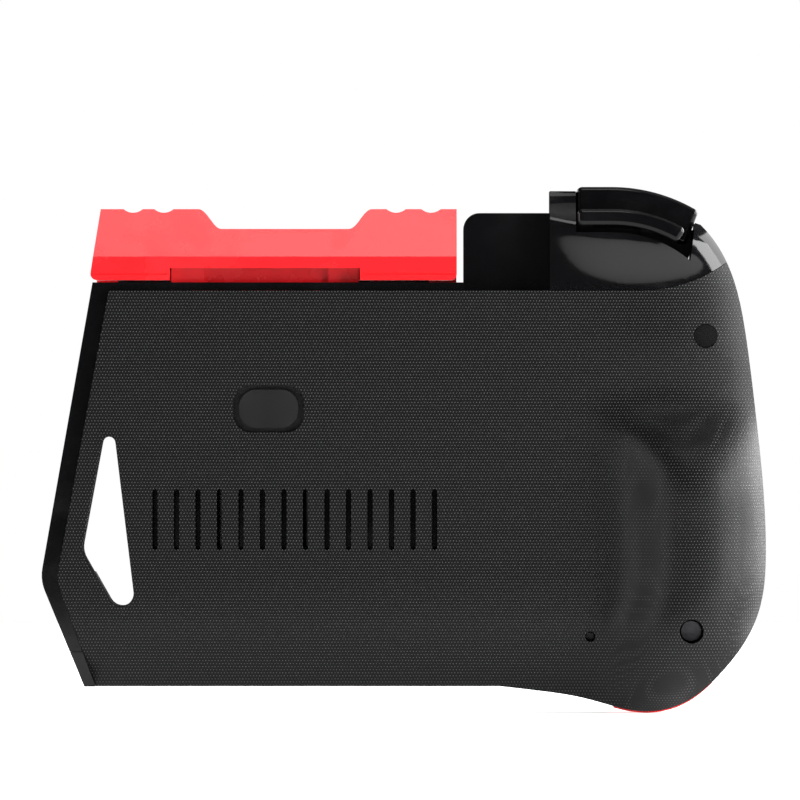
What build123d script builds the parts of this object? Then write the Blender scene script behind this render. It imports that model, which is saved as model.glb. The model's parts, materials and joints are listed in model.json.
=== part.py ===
from build123d import *
from math import cos, radians, sin
import os

# One-handed clip-on gamepad for a phone, standing upright with its back towards -Y.
# X runs along the phone, Z across it, and the origin is the middle of the rubber mat
# that the phone's back lies on. A depth is a distance behind the phone's back, towards
# -Y, so pieces on the phone's side have a negative depth. All sizes are in millimetres.

# Plate behind the phone
bay_left = 42.2
bay_right = 39.5
plate_top = 32.5
ledge_drop = 31.0
plate_bottom = 56.5
left_slant = 11.5
left_corner_drop = 33.0
left_corner_radius = 9.0
left_foot_reach = 1.8

# Grip, from the wall at the phone's end to the palm side
grip_reach = 66.5
grip_drop = 62.0
grip_height = 99.0
palm_curve_shares = [
    (0.785, 1.083), (0.872, 1.0), (0.938, 0.826), (0.977, 0.604), (1.0, 0.370), (0.967, 0.204),
    (0.859, 0.093), (0.716, 0.015), (0.600, 0.0), (0.418, 0.026), (0.186, 0.0505),
]
palm_end_share = 0.12

# Depths
mat_thickness = 1.0
mat_proud = 0.4
part_depth = 5.0
plate_depth = 13.0
crest_depth = 24.0
grip_front = 10.5
phone_room = 10.2
lip_thickness = 2.8
housing_wall = 1.8
cover_wall = 2.0
overrun = 1.0

# Gloss rim beside the rear cover
band_left = 3.5
band_top = 1.7
band_foot = 2.4
band_end_drop = 48.8
band_depth = 11.2
seam_gap = 0.12

# Tab, fin, rim under the shoulder keys and flank beside them
tab_top = 47.8
tab_corner_radius = 3.5
tab_depth = 7.2
fin_left = 19.0
fin_width = 5.7
fin_top = 52.6
key_centre_reach = 32.7
key_centre_height = 16.7
rim_radius = 26.8
rim_end_angle = 50.0
flank_reach = 51.0
flank_top = 45.6
seam_run = 38.8
seam_past_flank = 7.0
seam_below_flank = 8.6

# Shoulder keys
key_left_gap = 0.3
l1_outer_radius = 36.9
l1_inner_radius = 28.6
l1_outer_angle = 58.7
l1_inner_angle = 55.5
l1_front_depth = -3.8
l1_back_depth = 5.4
l2_outer_radius = 31.9
l2_inner_radius = 28.3
l2_end_angle = 59.5
l2_front_depth = 6.0
l2_back_depth = 15.6
key_round = 1.0
key_corner = 1.2

# Kite-shaped hole at the left end
kite_top_inset = 3.9
kite_top_height = 6.6
kite_left_inset = -2.3
kite_left_drop = 26.6
kite_foot_inset = 10.7
kite_foot_drop = 49.5
kite_top_radius = 1.45
kite_left_radius = 5.0
kite_foot_radius = 2.8
kite_wall = 1.2

# Clamp
clamp_travel = 21.0
jaw_gap = 0.5
jaw_height = 15.7
jaw_saddle_height = 11.3
jaw_crease_height = 5.2
jaw_depth = 10.5
jaw_lean = 5.0
jaw_left_lean = 2.4
jaw_right_gap = 1.5
jaw_lip_drop = 2.5
stem_left = 24.9
stem_right = 16.4
stem_front_depth = 4.2
stem_thickness = 3.0
stem_foot_drop = 10.0
slide_gap = 0.3

# Lock button
lock_left = 3.4
lock_height = 4.7
lock_button_length = 13.0
lock_button_width = 8.4
lock_recess_length = 15.6
lock_recess_width = 10.6
lock_travel = 1.0

# Thumbstick
stick_reach = 33.0
stick_height = 13.0
stick_opening_radius = 8.0
stick_centre_depth = -1.5
stick_dome_radius = 10.0
stick_dome_wall = 1.2
stick_dome_angle = 64.0
stick_neck_radius = 3.0
stick_head_radius = 8.6
stick_head_base = 14.0
stick_head_thickness = 4.5

# Direction keys and small keys
pad_reach = 34.5
pad_drop = 24.0
pad_pitch = 9.6
pad_key_radius = 4.3
pad_key_proud = 2.5
pad_key_travel = 1.2
menu_reach = 11.0
select_height = 24.0
start_height = 14.0
menu_key_length = 6.0
menu_key_width = 3.2
menu_key_proud = 1.0
menu_key_travel = 0.7
key_fit = 0.25
key_flange = 1.1
key_flange_thickness = 1.2

# Board
board_front_depth = 3.0
board_thickness = 1.6
board_inset = 2.0
curve_steps = 20


def back(depth):
    """Plane square to Y at a depth; its sketches have X and Z as their axes."""
    return Plane.XZ.offset(depth)


def palm_place(reach_share, height_share):
    return (bay_right + grip_reach * reach_share, grip_height * height_share - grip_drop)


palm_end = (bay_right + grip_reach * palm_end_share, -plate_bottom)
palm_points = [palm_place(*shares) for shares in palm_curve_shares] + [palm_end]
palm_curve = Spline(*palm_points, mode=Mode.PRIVATE)

key_centre = (bay_right + key_centre_reach, key_centre_height)
fin_left_x = bay_right + fin_left
fin_right_x = fin_left_x + fin_width
rim_top = key_centre_height + rim_radius
seam_height = plate_top - band_top


def round_key_centre(radius, angle):
    """Point on a circle round the shoulder keys' centre."""
    return (key_centre[0] + radius * cos(radians(angle)), key_centre[1] + radius * sin(radians(angle)))


def outline_face(with_fin):
    """Outline of the whole body; without the fin and the flank it bounds the hollow inside."""
    top_left = (-bay_left, plate_top)
    corner = (-bay_left - left_slant, -left_corner_drop)
    foot = (-bay_left - left_foot_reach, -plate_bottom)
    rim_end = round_key_centre(rim_radius, rim_end_angle)
    with BuildSketch() as face:
        with BuildLine():
            palm = Spline(*palm_points)
            if with_fin:
                Polyline(palm @ 0, (bay_right + flank_reach, flank_top), rim_end)
            else:
                Line(palm @ 0, rim_end)
            ThreePointArc(
                rim_end,
                round_key_centre(rim_radius, (rim_end_angle + 90) / 2),
                round_key_centre(rim_radius, 90),
            )
            if with_fin:
                Polyline(
                    round_key_centre(rim_radius, 90),
                    (fin_right_x, rim_top),
                    (fin_right_x, fin_top),
                    (fin_left_x, fin_top),
                    (fin_left_x, tab_top),
                )
            else:
                Polyline(
                    round_key_centre(rim_radius, 90),
                    (fin_left_x, rim_top),
                    (fin_left_x, tab_top),
                )
            FilletPolyline(
                (fin_left_x, tab_top), (bay_right, tab_top), (bay_right, plate_top),
                radius=tab_corner_radius,
            )
            Line((bay_right, plate_top), top_left)
            FilletPolyline(top_left, corner, foot, radius=left_corner_radius)
            Line(foot, palm @ 1)
        make_face()
    return face.sketch


def cover_region(gap=0.0):
    """All that lies inside the gloss band and under the shroud's seam, drawn in by a gap."""
    far = grip_reach
    seam_start = (bay_right + seam_run, seam_height - gap)
    seam_end = (bay_right + flank_reach + seam_past_flank, flank_top - seam_below_flank - gap)
    with BuildSketch() as face:
        with BuildLine():
            seam = TangentArc(seam_start, seam_end, tangent=(1, 0))
            beyond = Line(seam @ 1, seam @ 1 + (seam % 1) * far)
            Polyline(
                beyond @ 1,
                (bay_right + grip_reach + far, -plate_bottom - far),
                (-bay_left, -plate_bottom - far),
                (-bay_left - left_foot_reach + band_foot + gap, -plate_bottom),
            )
            FilletPolyline(
                (-bay_left - left_foot_reach + band_foot + gap, -plate_bottom),
                (-bay_left - left_slant + band_left + gap, -left_corner_drop),
                (-bay_left + band_left + gap, seam_height - gap),
                radius=left_corner_radius,
            )
            Line((-bay_left + band_left + gap, seam_height - gap), seam_start)
        make_face()
    return face.sketch


def right_of(edge):
    """Everything on the palm side of an upright line."""
    with BuildSketch() as face:
        with Locations((edge, 0)):
            Rectangle(2 * grip_height, 4 * grip_height, align=(Align.MIN, Align.CENTER))
    return face.sketch


def left_of(edge):
    with BuildSketch() as face:
        with Locations((edge, 0)):
            Rectangle(4 * grip_height, 4 * grip_height, align=(Align.MAX, Align.CENTER))
    return face.sketch


def above(height):
    with BuildSketch() as face:
        with Locations((0, height)):
            Rectangle(6 * grip_height, 2 * grip_height, align=(Align.CENTER, Align.MIN))
    return face.sketch


def below(height):
    with BuildSketch() as face:
        with Locations((0, height)):
            Rectangle(6 * grip_height, 2 * grip_height, align=(Align.CENTER, Align.MAX))
    return face.sketch


def common(first, *others):
    """Area that sketches share."""
    with BuildSketch() as face:
        add(first)
        for other in others:
            add(other, mode=Mode.INTERSECT)
    return face.sketch


def drawn_in(sketch, amount):
    """Outline drawn in all round, with its free curves laid again through points of the new line."""
    with BuildSketch(mode=Mode.PRIVATE) as moved:
        add(sketch)
        offset(amount=-amount, mode=Mode.REPLACE)
    with BuildSketch() as face:
        with BuildLine():
            for edge in moved.face().outer_wire().edges():
                if edge.geom_type in (GeomType.LINE, GeomType.CIRCLE):
                    add(edge)
                else:
                    points = [edge @ (step / curve_steps) for step in range(curve_steps + 1)]
                    Spline(*points)
        make_face()
    return face.sketch


def kite_face(spread=0.0):
    """Kite-shaped hole with its rounded corners, widened all round by a spread."""
    with BuildSketch() as face:
        with BuildLine():
            Polyline(
                (-bay_left + kite_top_inset, kite_top_height),
                (-bay_left + kite_left_inset, -kite_left_drop),
                (-bay_left + kite_foot_inset, -kite_foot_drop),
                close=True,
            )
        make_face()
        fillet(face.vertices().group_by(Axis.Y)[-1], radius=kite_top_radius)
        fillet(face.vertices().group_by(Axis.X)[0], radius=kite_left_radius)
        fillet(face.vertices().group_by(Axis.Y)[0], radius=kite_foot_radius)
        if spread:
            offset(amount=spread, mode=Mode.REPLACE)
    return face.sketch


body_face = outline_face(with_fin=True)
hollow_face = outline_face(with_fin=False)

cover_face = common(body_face, cover_region(seam_gap))
grip_face = common(body_face, right_of(bay_right))

# Rounded form of the back
edge_land = 1.2
least_land = 0.6
form_spread = 1.6
form_left = 60.0
form_top = 58.0
plate_roll_start = 35.0
plate_roll_end = 57.5
crest_roll_start = 38.0
crest_roll_end = 63.5
roll_power_share = 2.4
rise_start = 8.0
rise_length = 18.0
palm_roll_low = 21.0
palm_roll_high = 17.0
ramp_width = 22.0
palm_straight_drop = 49.0
round_share = 0.5523
palm_tuck_share = 0.35
palm_side_share = 0.6
search_rounds = 30
station_shares = (
    0.0, 0.026, 0.054, 0.086, 0.124, 0.17, 0.224, 0.288, 0.358,
    0.428, 0.498, 0.568, 0.642, 0.722, 0.81, 0.9, 1.0,
)


def smooth_step(value):
    held = min(max(value, 0.0), 1.0)
    return held * held * (3 - 2 * held)


def rolled(full_depth, height, start, end):
    """Depth of the back at a height, where it rolls forward towards the lower edge."""
    passed = min(max((start + height) / (start - end), 0.0), 1.0)
    edge = part_depth + edge_land
    return edge + (full_depth - edge) * (1 - passed**roll_power_share)


def palm_reach(height):
    """How far the palm side reaches at a height, found along its curve."""
    held = max(height, -palm_straight_drop)
    low, high = 0.0, palm_side_share
    for _ in range(search_rounds):
        middle = (low + high) / 2
        if (palm_curve @ middle).Y > held:
            low = middle
        else:
            high = middle
    return (palm_curve @ low).X - palm_tuck_share * (held - height)


def back_section(height, inset):
    """Level section through the back, from the flat plate over the crest to the palm side."""
    rise = smooth_step((rise_start - height) / rise_length)
    flat = rolled(plate_depth, height, plate_roll_start, plate_roll_end) - inset
    crest = rolled(
        plate_depth + (crest_depth - plate_depth) * rise, height, crest_roll_start, crest_roll_end
    ) - inset
    flat = max(flat, part_depth + least_land)
    crest = max(crest, flat)
    reach = palm_reach(height) + form_spread
    side = reach - inset
    roll = palm_roll_low + (palm_roll_high - palm_roll_low) * rise
    foot = (reach - roll - ramp_width, -flat)
    top = (reach - roll, -crest)
    bow = round_share * (crest - part_depth)
    front = overrun - part_depth
    with BuildSketch(Plane.XY.offset(height)) as face:
        with BuildLine():
            Polyline((side, -part_depth), (side, front), (-form_left, front), (-form_left, -flat), foot)
            Bezier(foot, (foot[0] + ramp_width / 2, -flat), (top[0] - ramp_width / 2, -crest), top)
            Bezier(
                top, (top[0] + round_share * (side - top[0]), -crest),
                (side, -part_depth - bow), (side, -part_depth),
            )
        make_face()
    return face.sketch


def back_form(inset):
    """Solid between the parting plane and the back, all of it drawn in by an inset."""
    low = -crest_roll_end
    sections = [back_section(low + (form_top - low) * share, inset) for share in station_shares]
    with BuildPart() as form:
        loft(sections)
    return form.part


def slab(face, front_depth, back_depth, mode=Mode.ADD):
    """Extrude a flat outline between two depths."""
    with BuildSketch(back(front_depth)) as placed:
        add(face)
    extrude(placed.sketch, amount=back_depth - front_depth, mode=mode)


def post(place, radius, front_depth, back_depth, mode=Mode.ADD):
    """Round post along Y between two depths."""
    with BuildSketch(back(front_depth)) as disc:
        with Locations(place):
            Circle(radius)
    extrude(disc.sketch, amount=back_depth - front_depth, mode=mode)


def panel(left, right, low, high):
    """Upright rectangle between two X and two Z values."""
    with BuildSketch() as face:
        with Locations((left, low)):
            Rectangle(right - left, high - low, align=(Align.MIN, Align.MIN))
    return face.sketch


def rounded_panel(place, length, width, corner):
    with BuildSketch() as face:
        with Locations(place):
            RectangleRounded(length, width, corner)
    return face.sketch


def save(piece, name):
    piece.part.label = name
    export_step(piece.part, "parts/" + name + ".step")


os.makedirs("parts", exist_ok=True)

# Lines that several pieces share
plate_front = mat_proud
plate_rear = plate_front + housing_wall
front_inner = -grip_front + housing_wall
cover_inner = plate_depth - cover_wall
pinhole_radius = 1.15
pinhole_reach = 27.9
pinhole_drop = 45.5
pinhole_place = (bay_right + pinhole_reach, -pinhole_drop)
deep = crest_depth + overrun
dome_left_x = fin_left_x + cover_wall

outer_form = back_form(0)
inner_form = back_form(cover_wall)
middle_form = back_form(cover_wall / 2)
grip_hollow_face = drawn_in(hollow_face, cover_wall)
dome_hollow_face = common(grip_hollow_face, right_of(dome_left_x))
with BuildSketch() as cover_hollow:
    add(drawn_in(cover_face, cover_wall))
    add(dome_hollow_face)
with BuildPart() as dome_hollow:
    slab(dome_hollow_face, part_depth - overrun / 2, deep)
    add(inner_form, mode=Mode.INTERSECT)

# Screws that hold the two halves of the grip together
upper_screw_reach = 53.3
upper_screw_height = 20.7
upper_seat_depth = 8.6
lower_screw_reach = 50.0
lower_screw_drop = 44.2
lower_seat_depth = 13.5
screw_places = (
    (bay_right + upper_screw_reach, upper_screw_height),
    (bay_right + lower_screw_reach, -lower_screw_drop),
)
screw_seat_depths = (upper_seat_depth, lower_seat_depth)
screw_seat_thickness = 2.0
screw_head_radius = 2.2
screw_head_height = 1.6
screw_shank_radius = 1.1
screw_length = 10.0
screw_clearance = 0.3
well_radius = 2.65
well_wall = 1.4
screw_boss_radius = 3.0
plug_gap = 0.2
plug_thickness = 1.1
plug_depth = upper_seat_depth + screw_head_height + plug_gap + plug_thickness

# Vents over the plate
vent_count = 14
vent_pitch = 4.73
vent_width = 1.2
vent_length = 13.4
vents_left = 28.4
vent_middle_drop = 19.7

# Lock lever and its pin inside the plate
lever_width = 8.0
lever_thickness = 1.0
lever_depth = 7.7
lever_reach = 9.0
lever_past_button = 1.5
lever_past_pin = 9.0
lever_shoe_length = 4.0
lever_shoe_gap = 0.25
lever_barrel_radius = 1.4
lever_pin_radius = 0.8
lever_pin_fit = 0.05
lug_thickness = 1.5
lug_gap = 0.3
lug_height = 3.2
lock_flange = 0.8
lock_flange_gap = 0.3
lock_flange_thickness = 0.8
lock_post_radius = 1.5
lock_post_gap = 0.2
lock_corner_share = 0.45
lock_recess_share = 0.39
lock_cap_inset = 0.6
lever_pin_depth = lever_depth + lever_thickness / 2
lever_pin_height = lock_height + lever_reach
lug_half_span = lever_width / 2 + lug_gap + lug_thickness

# Springs behind the stem's foot
spring_shares = (0.27, 0.73)
spring_radius = 1.9
spring_hole_radius = 1.2
spring_foot_drop = 50.0
spring_end_gap = 0.2
spring_block_height = 2.2
spring_depth = stem_front_depth + stem_thickness / 2


def stem_across(share):
    return -stem_left + (stem_left + stem_right) * share


# Slot where the stem of the clamp leaves the plate
stem_back_depth = stem_front_depth + stem_thickness
stem_slot = panel(-stem_left - slide_gap, stem_right + slide_gap, 0, 2 * plate_top)


with BuildPart() as plate_hollow:
    slab(cover_hollow.sketch, part_depth - overrun / 2, deep)
    add(inner_form, mode=Mode.INTERSECT)

with BuildPart() as screw_wells:
    for place, seat in zip(screw_places, screw_seat_depths):
        post(place, well_radius + well_wall, seat - screw_seat_thickness, deep)
    add(middle_form, mode=Mode.INTERSECT)

with BuildPart() as rear_cover:
    slab(cover_face, part_depth, deep)
    add(outer_form, mode=Mode.INTERSECT)
    add(plate_hollow.part, mode=Mode.SUBTRACT)
    add(screw_wells.part)
    for place, seat in zip(screw_places, screw_seat_depths):
        post(place, well_radius, seat, deep, mode=Mode.SUBTRACT)
        post(place, screw_shank_radius + screw_clearance, part_depth, seat, mode=Mode.SUBTRACT)
    with BuildSketch(back(lever_pin_depth - lever_barrel_radius)) as lugs:
        for side in (-1, 1):
            with Locations((-lock_left + side * (lug_half_span - lug_thickness / 2), lever_pin_height)):
                Rectangle(lug_thickness, lug_height)
    extrude(amount=cover_inner + cover_wall / 2 - lever_pin_depth + lever_barrel_radius)
    with BuildSketch(Plane.YZ.offset(-lock_left)) as lug_bore:
        with Locations((-lever_pin_depth, lever_pin_height)):
            Circle(lever_pin_radius)
    extrude(amount=lug_half_span + overrun, both=True, mode=Mode.SUBTRACT)
    slab(kite_face(seam_gap), 0, deep, mode=Mode.SUBTRACT)
    slab(
        rounded_panel(
            (-lock_left, lock_height), lock_recess_length, lock_recess_width,
            lock_recess_width * lock_recess_share,
        ),
        part_depth, deep, mode=Mode.SUBTRACT,
    )
    with BuildSketch(back(part_depth)) as vents:
        for vent in range(vent_count):
            with Locations((-vents_left + vent_pitch * vent, -vent_middle_drop)):
                SlotOverall(vent_length, vent_width, rotation=90)
    extrude(amount=deep, mode=Mode.SUBTRACT)
    post(pinhole_place, pinhole_radius, part_depth, deep, mode=Mode.SUBTRACT)
    slab(stem_slot, 0, stem_back_depth + slide_gap, mode=Mode.SUBTRACT)
save(rear_cover, "rear_cover")

# Shoulder hinge under the rim, with a window in the rim for each key's arm and nub
hinge_reach = 27.0
hinge_height = 38.4
hinge_pin_radius = 1.0
hinge_fit = 0.05
hinge_eye_radius = 2.2
hinge_boss_radius = 2.4
hinge_front_depth = -7.6
hinge_back_depth = 10.9
arm_width = 3.0
arm_gap = 0.7
arm_thickness = 2.7
l1_arm_front = -3.2
l2_arm_front = 6.6
l1_arm_depths = (l1_arm_front, l1_arm_front + arm_thickness)
l2_arm_depths = (l2_arm_front, l2_arm_front + arm_thickness)
nub_reach = 40.5
nub_width = 3.0
nub_foot_height = 38.6
nub_gap = 0.6
nub_thickness = 2.5
l1_nub_front = -0.6
l2_nub_front = 6.9
l1_nub_depths = (l1_nub_front, l1_nub_front + nub_thickness)
l2_nub_depths = (l2_nub_front, l2_nub_front + nub_thickness)
hinge_place = (bay_right + hinge_reach, hinge_height)
hinge_boss_length = 1.2
nub_x = bay_right + nub_reach


def rim_windows():
    """Openings in the rim for the arms and the nubs."""
    for depths in (l1_arm_depths, l2_arm_depths):
        slab(
            panel(
                hinge_place[0] - arm_width / 2 - arm_gap, hinge_place[0] + arm_width / 2 + arm_gap,
                hinge_height, rim_top + overrun,
            ),
            depths[0] - nub_gap, depths[1] + nub_gap, mode=Mode.SUBTRACT,
        )
    for depths in (l1_nub_depths, l2_nub_depths):
        slab(
            panel(
                nub_x - nub_width / 2 - nub_gap, nub_x + nub_width / 2 + nub_gap,
                nub_foot_height - 2 * overrun, rim_top + overrun,
            ),
            depths[0] - nub_gap, depths[1] + nub_gap, mode=Mode.SUBTRACT,
        )


# Upper key's room in the flank: its bar from rest to pressed, with a gap all round
l1_press_angle = 3.5
key_room_gap = 0.3
press_shares = (0, 0.5, 1)
key_left_x = fin_right_x + key_left_gap


def key_bar(outer_radius, inner_radius, outer_angle, inner_angle):
    """Bar that runs level from the fin and then bends down round the shoulder keys' centre."""
    outer_end = round_key_centre(outer_radius, outer_angle)
    inner_end = round_key_centre(inner_radius, inner_angle)
    outer_top = round_key_centre(outer_radius, 90)
    inner_top = round_key_centre(inner_radius, 90)
    with BuildSketch() as face:
        with BuildLine():
            Polyline(inner_top, (key_left_x, inner_top[1]), (key_left_x, outer_top[1]), outer_top)
            ThreePointArc(outer_top, round_key_centre(outer_radius, (90 + outer_angle) / 2), outer_end)
            Line(outer_end, inner_end)
            ThreePointArc(inner_end, round_key_centre(inner_radius, (90 + inner_angle) / 2), inner_top)
        make_face()
        corners = face.vertices().group_by(Axis.X)
        fillet(corners[0] + face.vertices().sort_by(Axis.X)[-2:], radius=key_corner)
    return face.sketch


def upper_key_room():
    bar = key_bar(l1_outer_radius, l1_inner_radius, l1_outer_angle, l1_inner_angle)
    hinge_axis = Axis((hinge_place[0], hinge_place[1], 0), (0, 0, 1))
    with BuildSketch() as room:
        for share in press_shares:
            add(bar.rotate(hinge_axis, -l1_press_angle * share))
        offset(amount=key_room_gap, mode=Mode.REPLACE)
        add(right_of(round_key_centre(rim_radius, rim_end_angle)[0]), mode=Mode.INTERSECT)
    slab(room.sketch, l1_front_depth - key_room_gap, l1_back_depth + key_room_gap, mode=Mode.SUBTRACT)


shroud_face = common(body_face, right_of(bay_right), above(-ledge_drop))

with BuildPart() as shoulder_shroud:
    with BuildSketch(back(part_depth)) as dome_plan:
        add(common(shroud_face, right_of(fin_left_x)))
        add(cover_region(), mode=Mode.SUBTRACT)
    extrude(amount=deep)
    add(outer_form, mode=Mode.INTERSECT)
    add(dome_hollow.part, mode=Mode.SUBTRACT)
    with BuildSketch(back(part_depth)) as tab_plan:
        add(common(shroud_face, left_of(fin_left_x + overrun)))
        add(cover_region(), mode=Mode.SUBTRACT)
    extrude(amount=tab_depth - part_depth)
    post(hinge_place, hinge_boss_radius, hinge_back_depth - hinge_boss_length, cover_inner + cover_wall / 2)
    post(hinge_place, hinge_pin_radius, 0, hinge_back_depth, mode=Mode.SUBTRACT)
    rim_windows()
    upper_key_room()
save(shoulder_shroud, "shoulder_shroud")

# Small board under the rim with a switch for each shoulder key, and the shelves that carry it
shoulder_board_left = 32.0
shoulder_board_right = 47.5
shoulder_board_height = 31.6
shoulder_board_front = -6.5
shoulder_board_back = 9.9
shoulder_switch_size = 3.6
shoulder_switch_height = 3.65
shoulder_plunger_radius = 1.3
shoulder_plunger_height = 0.6
shelf_width = 1.6
shelf_height = 3.0
shelf_span = 8.0

# Front of the grip and the plate
front_step = 1.2
front_step_inset = 1.6
stick_place = (bay_right + stick_reach, stick_height)
stick_ring_width = 2.2
stick_ring_recess = 0.5
stick_ring_proud = 0.6
pad_place = (bay_right + pad_reach, -pad_drop)
pad_places = {
    "key_up": (pad_place[0], pad_place[1] + pad_pitch),
    "key_down": (pad_place[0], pad_place[1] - pad_pitch),
    "key_left": (pad_place[0] - pad_pitch, pad_place[1]),
    "key_right": (pad_place[0] + pad_pitch, pad_place[1]),
}
menu_places = {
    "key_select": (bay_right + menu_reach, select_height),
    "key_start": (bay_right + menu_reach, start_height),
}
menu_corner_share = 0.49
led_height = 4.0
led_place = (bay_right + menu_reach, led_height)
led_radius = 1.1
switch_drop = 9.0
switch_corner_share = 0.3
switch_place = (bay_right + menu_reach, -switch_drop)
switch_slot_length = 7.0
switch_slot_width = 3.0
switch_knob_length = 3.0
switch_travel = 1.8
usb_reach = 20.5
usb_x = bay_right + usb_reach
usb_width = 9.0
usb_height = 3.2
usb_length = 7.3
usb_gap = 0.25
usb_depth = board_front_depth - usb_height / 2
usb_mouth_drop = 1.1
usb_mouth = -plate_bottom - usb_mouth_drop
usb_corner_share = 0.45
usb_hollow_share = 0.36
boss_radius = 2.2
boss_drop = 44.0
boss_reach = 17.0
top_boss_reach = 20.0
top_boss_height = 24.0
side_boss_reach = 52.0
side_boss_height = 10.0
boss_places = (
    (bay_right + top_boss_reach, top_boss_height),
    (bay_right + side_boss_reach, side_boss_height),
    (bay_right + boss_reach, -boss_drop),
)
board_screw_radius = 0.9
trim_proud = 0.4
trim_depth = 1.4
trim_window_left = 33.0
trim_window_right = 55.0
trim_window_top = -52.0
trim_front = 6.0
trim_gap = 0.1
mat_length = 62.0
mat_height = 42.0
mat_corner = 4.0


def grown(sketch, amount):
    """Outline moved outwards all round, laid again like the drawn in one."""
    return drawn_in(sketch, -amount)


trim_window = panel(
    bay_right + trim_window_left, bay_right + trim_window_right, -2 * grip_drop, trim_window_top
)
trim_base_face = common(grip_face, below(seam_height))
trim_inner_face = drawn_in(trim_base_face, trim_depth)
trim_outer_face = grown(trim_base_face, trim_proud)

front_plan = common(hollow_face, right_of(bay_right))
front_hollow_face = common(drawn_in(hollow_face, housing_wall), right_of(bay_right + housing_wall))
pan_hollow_face = drawn_in(hollow_face, housing_wall)


def stem_guide_slot(mode=Mode.SUBTRACT):
    slab(stem_slot, stem_front_depth - slide_gap, stem_back_depth + slide_gap, mode=mode)


with BuildPart() as kite_collar:
    slab(kite_face(kite_wall), part_depth - overrun / 2, deep)
    add(back_form(cover_wall + seam_gap), mode=Mode.INTERSECT)


# Fence on the phone's side of the upper key, from the fin to the flank
fence_rise = 2.9
fence_end_angle = 62.0
fence_post = 1.5


def key_fence():
    radius = l1_inner_radius + fence_rise
    root = rim_radius - housing_wall / 2
    rim_end = round_key_centre(root, rim_end_angle)
    fence_end = round_key_centre(radius, fence_end_angle)
    post_x = fin_right_x + fence_post
    flank_foot = (bay_right + flank_reach + fence_post / 2, flank_top - fence_post)
    with BuildSketch() as face:
        with BuildLine():
            Polyline(
                round_key_centre(root, 90),
                (fin_right_x - overrun, key_centre_height + root),
                (fin_right_x - overrun, fin_top),
                (post_x, fin_top),
                (post_x, key_centre_height + radius),
                round_key_centre(radius, 90),
            )
            ThreePointArc(
                round_key_centre(radius, 90), round_key_centre(radius, (90 + fence_end_angle) / 2), fence_end
            )
            Polyline(fence_end, flank_foot, rim_end)
            ThreePointArc(
                rim_end, round_key_centre(root, (rim_end_angle + 90) / 2), round_key_centre(root, 90)
            )
        make_face()
    return face.sketch


with BuildPart() as front_housing:
    slab(body_face, plate_front, part_depth)
    slab(grip_face, -grip_front + front_step, part_depth)
    slab(drawn_in(front_plan, front_step_inset), -grip_front, part_depth)
    slab(pan_hollow_face, plate_rear, deep, mode=Mode.SUBTRACT)
    slab(front_hollow_face, front_inner, deep, mode=Mode.SUBTRACT)
    with BuildSketch(back(part_depth)) as band_plan:
        add(common(body_face, left_of(bay_right), above(-band_end_drop)))
        add(cover_region(), mode=Mode.SUBTRACT)
    extrude(amount=band_depth - part_depth)
    slab(kite_face(kite_wall), plate_front, part_depth)
    add(kite_collar.part)
    slab(key_fence(), -grip_front + front_step, l1_front_depth - key_room_gap)
    slab(kite_face(), -deep, deep, mode=Mode.SUBTRACT)
    stem_guide_slot()
    for place, seat in zip(screw_places, screw_seat_depths):
        post(place, screw_boss_radius, front_inner, seat - screw_seat_thickness - seam_gap)
        post(place, screw_shank_radius, seat - screw_length, deep, mode=Mode.SUBTRACT)
    for place in boss_places:
        post(place, boss_radius, front_inner, board_front_depth)
        post(place, board_screw_radius, front_inner + housing_wall, board_front_depth, mode=Mode.SUBTRACT)
    post(hinge_place, hinge_boss_radius, front_inner, l1_arm_depths[0] - seam_gap * 2)
    for left in (shoulder_board_left, shoulder_board_right - shelf_width):
        slab(
            panel(
                bay_right + left, bay_right + left + shelf_width,
                shoulder_board_height - shelf_height, shoulder_board_height,
            ),
            front_inner, front_inner + shelf_span,
        )
    for share in spring_shares:
        slab(
            panel(
                stem_across(share) - spring_radius, stem_across(share) + spring_radius,
                -spring_foot_drop - spring_end_gap - spring_block_height,
                -spring_foot_drop - spring_end_gap,
            ),
            plate_rear, spring_depth + spring_hole_radius,
        )
    post(hinge_place, hinge_pin_radius, hinge_front_depth, deep, mode=Mode.SUBTRACT)
    rim_windows()
    upper_key_room()
    post(stick_place, stick_opening_radius, -deep, 0, mode=Mode.SUBTRACT)
    post(
        stick_place, stick_opening_radius + stick_ring_width, -deep, stick_ring_recess - grip_front,
        mode=Mode.SUBTRACT,
    )
    for place in pad_places.values():
        post(place, pad_key_radius + key_fit, -deep, 0, mode=Mode.SUBTRACT)
    for place in menu_places.values():
        slab(
            rounded_panel(
                place, menu_key_length + 2 * key_fit, menu_key_width + 2 * key_fit,
                menu_key_width * menu_corner_share + key_fit,
            ),
            -deep, 0, mode=Mode.SUBTRACT,
        )
    post(led_place, led_radius, -deep, 0, mode=Mode.SUBTRACT)
    slab(
        rounded_panel(
            switch_place, switch_slot_width, switch_slot_length, switch_slot_width * switch_corner_share
        ),
        -deep, 0, mode=Mode.SUBTRACT,
    )
    slab(
        panel(
            usb_x - usb_width / 2 - usb_gap, usb_x + usb_width / 2 + usb_gap,
            -2 * plate_bottom, usb_mouth + usb_length + usb_gap,
        ),
        usb_depth - usb_height / 2 - usb_gap, usb_depth + usb_height / 2 + usb_gap, mode=Mode.SUBTRACT,
    )
    with BuildSketch(back(-trim_front)) as trim_cut:
        add(common(trim_window, body_face))
        add(drawn_in(trim_base_face, trim_depth + trim_gap), mode=Mode.SUBTRACT)
    extrude(amount=part_depth + trim_front, mode=Mode.SUBTRACT)
    slab(
        rounded_panel((0, 0), mat_length, mat_height, mat_corner),
        -overrun, mat_thickness, mode=Mode.SUBTRACT,
    )
save(front_housing, "front_housing")

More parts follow.
